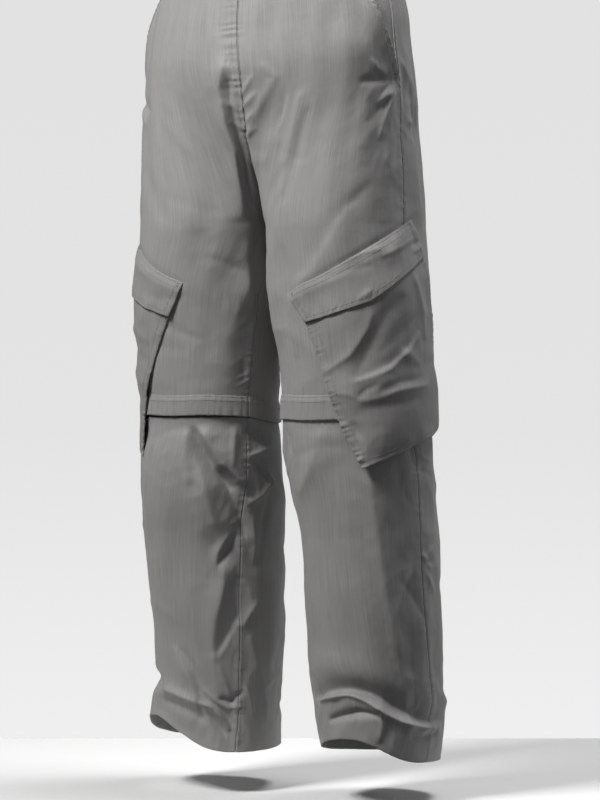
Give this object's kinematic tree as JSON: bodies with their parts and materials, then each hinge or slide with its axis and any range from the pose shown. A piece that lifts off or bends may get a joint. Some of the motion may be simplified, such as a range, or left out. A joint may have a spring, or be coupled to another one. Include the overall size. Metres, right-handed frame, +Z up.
{
  "type": "cargo trousers",
  "caption": "Wide leg cargo trousers with slanted flap pockets and a covered zip round each knee, hollow, as they hang when worn.",
  "frame": {"origin": "centre of the waist opening, level with the top of the waistband at the sides", "axes": "+Z up the wearer's body, -Y to the wearer's front, +X to the wearer's left"},
  "size_m": [0.4413, 0.2622, 1.0941],
  "materials": {
    "cloth": "dry woven nylon with fine vertical slubs",
    "zip": "zip tape",
    "button": "satin"
  },
  "bodies": {
    "root": {"waistband_left": "cloth", "waistband_right": "cloth", "fly_lip": "cloth", "thigh_front_left": "cloth", "thigh_back_left": "cloth", "pocket_facing_left": "cloth", "cargo_bag_left": "cloth", "cargo_flap_left": "cloth", "knee_flap_front_left": "cloth", "knee_flap_back_left": "cloth", "shin_front_left": "cloth", "shin_back_left": "cloth", "thigh_front_right": "cloth", "thigh_back_right": "cloth", "pocket_facing_right": "cloth", "cargo_bag_right": "cloth", "cargo_flap_right": "cloth", "knee_flap_front_right": "cloth", "knee_flap_back_right": "cloth", "shin_front_right": "cloth", "shin_back_right": "cloth", "knee_zip_left": "zip", "knee_zip_right": "zip", "button": "button"}
  },
  "joints": []
}
